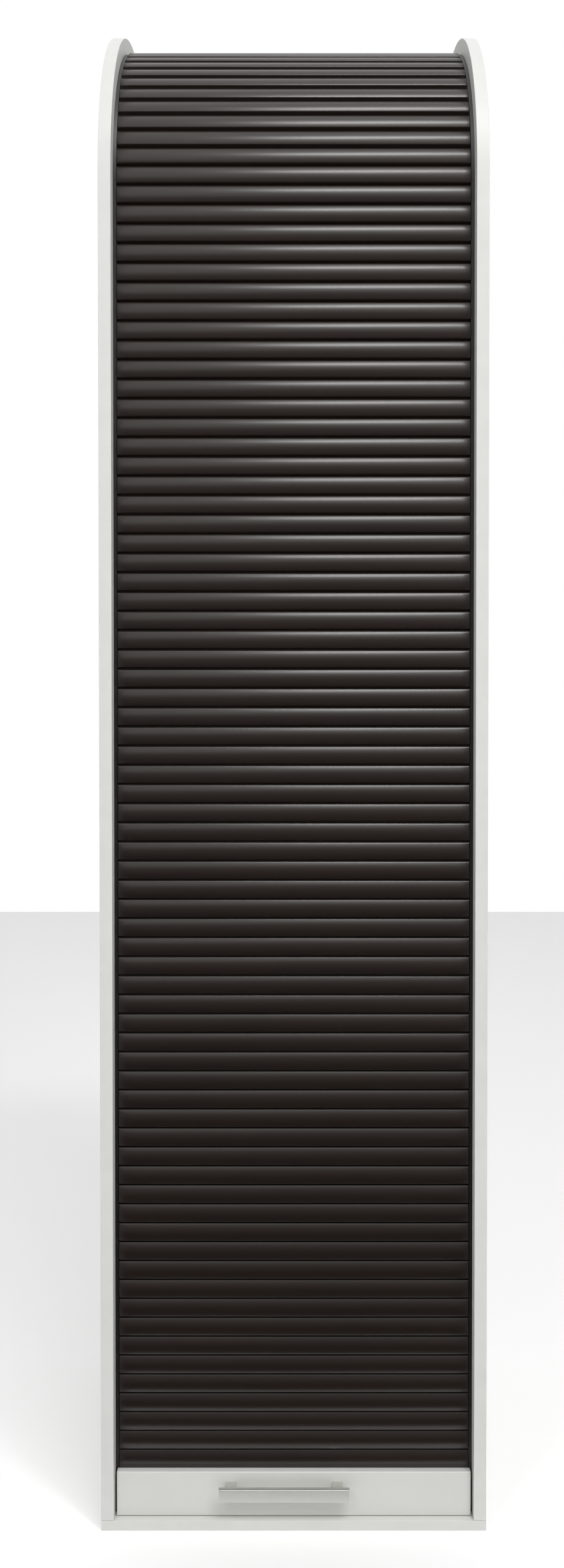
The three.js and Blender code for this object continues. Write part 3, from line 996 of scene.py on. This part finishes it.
@dataclass(frozen=True)
class Carcass:
    """Side panels, boards and backs."""

    shop: Workshop
    way: CurtainWay
    tracks: GuideTracks
    crown_radius: float = 270
    edge_round: float = 0.7
    board_edge_round: float = 0.6
    hardboard_edge_round: float = 0.3
    groove_depth: float = 6
    hole_radius: float = 2.75
    hole_depth: float = 9
    hole_pitch: float = 32
    hole_sides: int = 20

    def panel_outline(self, low: Point, high: Point, inset: float) -> list[Point]:
        """Outline of a side panel, drawn in evenly.

        Args:
            low: Front and bottom of the panel.
            high: Rear and top of the panel.
            inset: How far the outline is drawn in.

        Returns:
            Y and Z of its points.
        """
        small = drawn_corner(self.edge_round, inset)
        front, bottom = (part + inset + small for part in low)
        rear, top = (part - inset - small for part in high)
        crown = (low[0] + self.crown_radius, high[1] - self.crown_radius)
        return [
            *arc((front, bottom), small, 180, 270, SMALL_STEPS),
            *arc((rear, bottom), small, 270, 360, SMALL_STEPS),
            *arc((rear, top), small, 0, 90, SMALL_STEPS),
            *arc(crown, self.crown_radius - inset, 90, 180, self.way.crown_steps),
        ]

    def groove(self, side: Side, inner_x: float) -> Piece:
        """Makes the body that cuts the track's groove.

        Args:
            side: The side panel.
            inner_x: Distance of the panel's inner face from the middle.

        Returns:
            The cutting body.
        """
        half = self.way.track_half + self.tracks.seat_gap
        section = rectangle((inner_x - OVERRUN, -half), (inner_x + self.groove_depth, half))
        start = self.tracks.panel_bottom - OVERRUN - self.way.hook_z
        return self.way.band(section, side, start, self.tracks.foot_run).build("groove")

    def pin_holes(self, side: Side, inner_x: float) -> Piece:
        """Makes the bodies that drill the shelf pins' holes.

        Args:
            side: The side panel.
            inner_x: Distance of the panel's inner face from the middle.

        Returns:
            The cutting bodies, as one object.
        """
        span = [(self.hole_radius, side.value * (inner_x - OVERRUN)),
                (self.hole_radius, side.value * (inner_x + self.hole_depth))]
        draft = MeshDraft()
        for number, end, step in product(LOOSE_SHELVES, PIN_ENDS, (-1, 0, 1)):
            _, y, z = self.shop.middle(f"shelf_pin_{number}_{side.word}_{end}")
            draft.lathe(span, (y, z + step * self.hole_pitch), 0, self.hole_sides)
        return draft.build("pin_holes")

    def side_panel(self, side: Side) -> None:
        """Makes a side panel with its rounded top, track groove and pin holes.

        Args:
            side: Which panel.
        """
        node = f"side_panel_{side.word}"
        low, high = self.shop.box(node)
        draft = MeshDraft()
        draft.slab(lambda inset: self.panel_outline(low[1:], high[1:], inset),
                   (low[0], high[0]), self.edge_round, 0)
        piece = draft.build(f"{node}_board")
        inner_x = min(abs(low[0]), abs(high[0]))
        for cutter in (self.groove(side, inner_x), self.pin_holes(side, inner_x)):
            carve(piece, cutter, sharp=30)
        self.shop.settle_board(piece, node, 0)

    def flat_board(self, node: str, axis: int, edge: float) -> Piece:
        """Makes a plain board with softened edges.

        Args:
            node: The node that it stands for.
            axis: The axis that its broad sides look along.
            edge: Radius of its edges.

        Returns:
            The object.
        """
        low, high = self.shop.box(node)
        plane = [part for part in range(3) if part != axis]

        def outline(inset: float) -> list[Point]:
            """Outline of the board, drawn in by an inset."""
            radius = drawn_corner(edge, inset)
            reach = inset + radius
            corners = rectangle(tuple(low[part] + reach for part in plane),
                                tuple(high[part] - reach for part in plane))
            starts = (180, 270, 0, 90)
            return [point for corner, start in zip(corners, starts)
                    for point in arc(corner, radius, start, start + 90, SMALL_STEPS)]

        draft = MeshDraft()
        draft.slab(outline, (low[axis], high[axis]), edge, axis)
        return draft.build(f"{node}_board", sharp=30)

    def make(self) -> None:
        """Makes the panels, boards, shelves and backs."""
        for side in Side:
            self.side_panel(side)
        boards = ["base_board", "top_cover", "inner_top_board", "fixed_shelf"]
        boards += [f"loose_shelf_{number}" for number in LOOSE_SHELVES]
        for node, axis in [*((node, 2) for node in boards), ("channel_foot_rail", 1)]:
            self.shop.settle_board(self.flat_board(node, axis, self.board_edge_round), node, axis)
        for node in ("false_back", "rear_panel"):
            back = self.flat_board(node, 1, self.hardboard_edge_round)
            self.shop.settle_flat(back, node, self.shop.hardboard)


@dataclass(frozen=True)
class ShelfPins:
    """Steel pins that carry the loose shelves: half in the panel, half under the shelf."""

    shop: Workshop
    radius: float = 2.5
    end_round: float = 0.6
    ring_depth: float = 0.25
    ring_width: float = 0.8
    sides: int = 24

    def pin(self, node: str) -> Piece:
        """Makes one pin with its rounded ends and the ring turned into its middle.

        Args:
            node: The node that it stands for.

        Returns:
            The object.
        """
        start, end = (corner[0] for corner in self.shop.box(node))
        middle, y, z = self.shop.middle(node)
        core, half = self.radius - self.end_round, self.ring_width / 2
        rounding = arc((0, 0), self.end_round, 0, 90, ROUND_STEPS)
        rise = [(core + x, start + self.end_round - up) for x, up in reversed(rounding)]
        fall = [(core + x, end - self.end_round + up) for x, up in rounding]
        ring = [(self.radius, middle - half), (self.radius - self.ring_depth, middle - half / 2),
                (self.radius - self.ring_depth, middle + half / 2), (self.radius, middle + half)]
        draft = MeshDraft()
        draft.lathe([*rise, *ring, *fall], (y, z), 0, self.sides)
        return draft.build(f"{node}_turned", sharp=35)

    def make(self) -> None:
        """Makes the twelve pins."""
        for number, side, end in product(LOOSE_SHELVES, Side, PIN_ENDS):
            node = f"shelf_pin_{number}_{side.word}_{end}"
            self.shop.settle(self.pin(node), node, self.shop.steel)


@dataclass(frozen=True)
class LeadRail:
    """The board at the foot of the curtain, hooked into its first slat, with two glides."""

    shop: Workshop
    way: CurtainWay
    section: SlatSection
    bottom: float = 12.5
    top: float = 66
    front_y: float = -206.5
    back_y: float = -190.5
    half_width: float = 212.5
    edge_round: float = 1.5
    end_round: float = 0.6
    step_chamfer: float = 0.4
    rebate_room: float = 0.6
    glide_thickness: float = 3
    glide_height: float = 36
    glide_in_rail: float = 10
    glide_slot_gap: float = 0.25
    glide_edge: float = 0.3
    screw_hole: float = 2.3
    hole_sides: int = 20
    corner_steps: int = 4
    glide_steps: int = 8

    @property
    def shoulder(self) -> float:
        """Height of the shoulder beside the hook."""
        return self.way.hook_z - self.section.shoulder_drop

    def outline(self, inset: float) -> list[Point]:
        """Section of the rail with its hook, drawn in at its visible corners.

        Args:
            inset: How far the front and top are drawn in.

        Returns:
            Y and Z of its points.
        """
        hook_y, neck_half, edge = self.way.front_y, self.section.neck / 2, self.edge_round
        step_y = hook_y - self.section.socket_outer - self.section.socket_clearance
        front, bottom, top = self.front_y + inset, self.bottom + inset, self.top - inset
        return [
            *arc((front + edge, bottom + edge), edge, 180, 270, self.corner_steps),
            (self.back_y - inset, bottom),
            (self.back_y - inset, self.shoulder),
            (hook_y + neck_half, self.shoulder),
            *self.section.bead((hook_y, self.way.hook_z)),
            (hook_y - neck_half, self.shoulder),
            (step_y, self.shoulder),
            (step_y, top - self.step_chamfer),
            (step_y - self.step_chamfer, top),
            *arc((front + edge, top - edge), edge, 90, 180, self.corner_steps),
        ]

    def glide_outline(self, grow: float) -> list[Point]:
        """Upright capsule on the hinge line, halfway up the rail.

        Args:
            grow: How much larger than the glide it is, all round.

        Returns:
            Y and Z of its points.
        """
        half = self.glide_thickness / 2 + grow
        reach = (self.glide_height - self.glide_thickness) / 2
        middle = (self.bottom + self.shoulder) / 2
        return [
            *arc((self.way.front_y, middle + reach), half, 0, 180, self.glide_steps),
            *arc((self.way.front_y, middle - reach), half, 180, 360, self.glide_steps),
        ]

    def cutters(self, side: Side) -> list[Piece]:
        """Bodies that cut the rebate for the track, the glide's slot and a screw hole.

        Args:
            side: The end of the rail.

        Returns:
            The cutting bodies.
        """
        low = (self.way.front_y - self.way.track_half - self.rebate_room, self.bottom - OVERRUN)
        high = (self.back_y + OVERRUN, self.way.hook_z - self.section.bead_radius)
        rebate, slot, hole = MeshDraft(), MeshDraft(), MeshDraft()
        rebate.prism(rectangle(low, high), (side.value * self.way.slat_end,
                                            side.value * (self.half_width + OVERRUN)), 0)
        inner = self.way.slat_end - self.glide_in_rail - self.glide_slot_gap
        slot.prism(self.glide_outline(self.glide_slot_gap),
                   (side.value * inner, side.value * (self.way.slat_end + OVERRUN)), 0)
        x, _, z = self.shop.middle(f"handle_screw_{side.word}")
        hole.lathe([(self.screw_hole, y) for y in (self.front_y - OVERRUN, high[0])],
                   (x, z), 1, self.hole_sides)
        return [rebate.build("rebate"), slot.build("glide_slot"), hole.build("screw_hole")]

    def glide(self, side: Side) -> Piece:
        """Makes a glide: a rounded blade that runs in the track.

        Args:
            side: The end of the rail.

        Returns:
            The object.
        """
        inner = self.way.slat_end - self.glide_in_rail
        ends = sorted((side.value * inner, side.value * self.way.pin_end))
        draft = MeshDraft()
        draft.slab(lambda inset: self.glide_outline(-inset), ends, self.glide_edge, 0)
        return draft.build(f"rail_glide_{side.word}_blade", sharp=35)

    def make(self) -> None:
        """Makes the rail and its glides."""
        draft = MeshDraft()
        draft.slab(self.outline, (-self.half_width, self.half_width), self.end_round, 0)
        rail = draft.build("lead_rail_board")
        for side in Side:
            for cutter in self.cutters(side):
                carve(rail, cutter, sharp=30)
        self.shop.settle_board(rail, "lead_rail", 1)
        for side in Side:
            self.shop.settle(self.glide(side), f"rail_glide_{side.word}", self.shop.glide)


@dataclass(frozen=True)
class Handle:
    """A bar handle on two legs, held by a screw in each."""

    shop: Workshop
    edge_round: float = 0.8
    bar_thickness: float = 7
    leg_width: float = 12
    screw_spacing: float = 128
    screw_radius: float = 2
    screw_sides: int = 28
    tip_chamfer: float = 0.5
    head_radius: float = 4
    head_edge: float = 0.1
    head_height: float = 2.5
    dome_end: float = 80
    dome_steps: int = 5
    recess_width: float = 0.9
    recess_length: float = 2.2
    recess_depth: float = 1.3

    def bar_outline(self, inset: float) -> list[Point]:
        """Outline of bar and legs from above, drawn in evenly.

        Args:
            inset: How far the outline is drawn in.

        Returns:
            X and Y of its points.
        """
        low, high = self.shop.box("handle")
        middle, edge = (low[0] + high[0]) / 2, self.edge_round
        front, bar_back, back = low[1] + inset, low[1] + self.bar_thickness - inset, high[1]
        half = (high[0] - low[0]) / 2 - inset
        outer = (self.screw_spacing + self.leg_width) / 2 - inset
        inner = (self.screw_spacing - self.leg_width) / 2 + inset
        right = [
            *arc((half - edge, front + edge), edge, -90, 0, ROUND_STEPS),
            *arc((half - edge, bar_back - edge), edge, 0, 90, ROUND_STEPS),
            (outer, bar_back),
            (outer, back),
            (inner, back),
            (inner, bar_back),
        ]
        left = [(-x, y) for x, y in reversed(right)]
        return [(middle + x, y) for x, y in [*right, *left]]

    def screw(self, side: Side) -> Piece:
        """Makes a pan-head screw with a cross recess, its head behind the rail.

        Args:
            side: The leg that it holds.

        Returns:
            The object.
        """
        node = f"handle_screw_{side.word}"
        low, high = self.shop.box(node)
        x, _, z = self.shop.middle(node)
        seat = high[1] - self.head_height
        dome = [(self.head_radius * math.cos(turn), seat + self.head_height * math.sin(turn))
                for turn in map(math.radians, even_steps(0, self.dome_end, self.dome_steps))]
        radius, tip = self.screw_radius, self.tip_chamfer
        profile = [(radius - tip, low[1]), (radius, low[1] + tip), (radius, seat),
                   (self.head_radius - self.head_edge, seat), *dome]
        draft = MeshDraft()
        draft.lathe(profile, (x, z), 1, self.screw_sides)
        piece = draft.build(f"{node}_pan_head", sharp=35)
        arm = (self.recess_length, self.recess_width / 2)
        for wide, tall in (arm, arm[::-1]):
            cross = MeshDraft()
            cross.prism(rectangle((x - wide, z - tall), (x + wide, z + tall)),
                        (high[1] - self.recess_depth, high[1] + OVERRUN), 1)
            carve(piece, cross.build("recess"), sharp=35)
        return piece

    def make(self) -> None:
        """Makes the handle and its screws."""
        low, high = self.shop.box("handle")
        draft = MeshDraft()
        draft.slab(self.bar_outline, (low[2], high[2]), self.edge_round, 2)
        self.shop.settle_flat(draft.build("handle_bar", sharp=30), "handle", self.shop.handle)
        for side in Side:
            self.shop.settle(self.screw(side), f"handle_screw_{side.word}", self.shop.steel)


def lay_sheet(name: str, low: Place, high: Place, material: bpy.types.Material) -> Piece:
    """Lays or stands a flat sheet in the studio, square to the room.

    Args:
        name: Name of the sheet.
        low: Its lowest corner.
        high: Its highest corner, level with the lowest on the axis that the sheet looks along.
        material: Its material.

    Returns:
        The sheet.
    """
    flat = next(axis for axis in range(3) if low[axis] == high[axis])
    plane = [axis for axis in range(3) if axis != flat]
    corners = rectangle(tuple(low[axis] for axis in plane), tuple(high[axis] for axis in plane))
    mesh = bpy.data.meshes.new(name)
    mesh.from_pydata([across(flat, corner, low[flat]) for corner in corners], [], [(0, 1, 2, 3)])
    mesh.materials.append(material)
    sheet = bpy.data.objects.new(name, mesh)
    bpy.context.scene.collection.objects.link(sheet)
    return sheet


@dataclass(frozen=True)
class Softbox:
    """One lamp behind a rectangular diffuser that points at a place of the cabinet."""

    name: str
    place: Place
    target: Place
    width: float
    height: float
    power: float
    mirrored: bool = True

    def make(self) -> None:
        """Makes the lamp."""
        lamp = bpy.data.lights.new(self.name, "AREA")
        lamp.shape = "RECTANGLE"
        lamp.size = self.width
        lamp.size_y = self.height
        lamp.energy = self.power
        stand = bpy.data.objects.new(self.name, lamp)
        stand.location = self.place
        aim = Vector(self.target) - Vector(self.place)
        stand.rotation_euler = aim.to_track_quat("-Z", "Y").to_euler()
        stand.visible_glossy = self.mirrored
        bpy.context.scene.collection.objects.link(stand)


@dataclass(frozen=True)
class ReflectionCard:
    """A card that only reflections show: it gives the slats a room with dark and bright parts.

    It lies or stands square to the room, and its light runs evenly from its lower to its upper
    end along one axis.
    """

    name: str
    low: Place
    high: Place
    axis: int
    light: Point

    def make(self) -> None:
        """Makes the card with its light."""
        material = empty_material(self.name)
        tree = material.node_tree
        where = add_node(tree, "ShaderNodeTexCoord")
        split = add_node(tree, "ShaderNodeSeparateXYZ", links={0: where.outputs["Object"]})
        ends = (self.low[self.axis], self.high[self.axis])
        glow = add_node(tree, "ShaderNodeEmission", {"Color": WHITE},
                        {"Strength": ramp(tree, split.outputs[self.axis], ends, self.light)})
        add_node(tree, "ShaderNodeOutputMaterial", links={"Surface": glow.outputs["Emission"]})
        card = lay_sheet(self.name, self.low, self.high, material)
        card.visible_camera = card.visible_diffuse = False
        card.visible_transmission = card.visible_shadow = False


@dataclass(frozen=True)
class Studio:
    """White studio paper, softboxes, cards and the camera.

    The room's light runs from below to above the horizon, over two heights of the view's direction.
    """

    camera_distance: float = 1.4869
    camera_height: float = 0.919
    camera_pitch: float = 0.995
    sensor: float = 36
    lens: float = 28.85
    middle_pixel: float = 479.15
    handle_reach: float = 0.009
    floor_reach: float = 6.0
    horizon: Point = (-0.17, 0.44)
    room_light: Point = (0.12, 0.6)
    lamps: tuple[Softbox, ...] = (
        Softbox("overhead_softbox", (1.08, -3.3, 6.0), (0, -0.2, 1.0), 2.9, 0.7, 126),
        Softbox("right_softbox", (1.5, -2.25, 2.6), (0, -0.2, 0.6), 0.5, 0.5, 16, mirrored=False),
        Softbox("left_softbox", (-1.3, -2.45, 2.6), (0, -0.2, 0.6), 0.5, 0.5, 13, mirrored=False),
    )
    cards: tuple[ReflectionCard, ...] = (
        ReflectionCard("floor_card", (-3.5, -4, 0.004), (3.5, -0.33, 0.004), 1, (0.12, 0.04)),
        ReflectionCard("front_card", (-3.5, -4, 0), (3.5, -4, 2.8), 2, (0.12, 0.34)),
        ReflectionCard("high_card", (-0.3, -4, 2.8), (3.5, -4, 5), 2, (0.4, 1.4)),
    )

    def camera(self) -> None:
        """Sets the camera where the photograph's stood, the cabinet's middle off its centre."""
        panels_front = CAD_BOX[0][1] + self.handle_reach
        data = bpy.data.cameras.new("camera")
        data.sensor_width = self.sensor
        data.lens = self.lens
        data.shift_x = (PHOTO_WIDTH / 2 - self.middle_pixel) / PHOTO_HEIGHT
        view = bpy.data.objects.new("camera", data)
        view.location = (0, panels_front - self.camera_distance, self.camera_height)
        view.rotation_euler = (math.radians(90 - self.camera_pitch), 0, 0)
        bpy.context.scene.collection.objects.link(view)
        bpy.context.scene.camera = view

    def world(self) -> None:
        """Lights the room from above the horizon and shows a white backdrop."""
        world = bpy.data.worlds.new("studio")
        bpy.context.scene.world = world
        world.use_nodes = True
        tree = world.node_tree
        tree.nodes.clear()
        where = add_node(tree, "ShaderNodeTexCoord")
        split = add_node(tree, "ShaderNodeSeparateXYZ", links={0: where.outputs["Generated"]})
        light = ramp(tree, split.outputs["Z"], self.horizon, self.room_light, "SMOOTHSTEP")
        room = add_node(tree, "ShaderNodeBackground", {"Color": WHITE}, {"Strength": light})
        white = add_node(tree, "ShaderNodeBackground", {"Color": WHITE, "Strength": 1.0})
        layers = {0: seen_white(tree), 1: room.outputs["Background"],
                  2: white.outputs["Background"]}
        seen = add_node(tree, "ShaderNodeMixShader", links=layers)
        add_node(tree, "ShaderNodeOutputWorld", links={"Surface": seen.outputs["Shader"]})

    def make(self) -> None:
        """Makes the whole studio."""
        bpy.context.scene.view_settings.view_transform = "Standard"
        self.camera()
        self.world()
        reach = self.floor_reach
        lay_sheet("floor", (-reach, -reach, 0), (reach, reach, 0), StudioPaper().make())
        for thing in (*self.lamps, *self.cards):
            thing.make()


def main() -> None:
    """Builds the cabinet and its studio in order."""
    logging.basicConfig(level=logging.INFO, format="%(message)s")
    shop = Workshop()
    Studio().make()
    way = CurtainWay()
    section = SlatSection()
    tracks = GuideTracks(shop, way)
    Carcass(shop, way, tracks).make()
    ShelfPins(shop).make()
    tracks.make()
    Curtain(shop, way, section).make()
    LeadRail(shop, way, section).make()
    Handle(shop).make()
    bpy.context.view_layer.update()


if __name__ == "__main__":
    main()
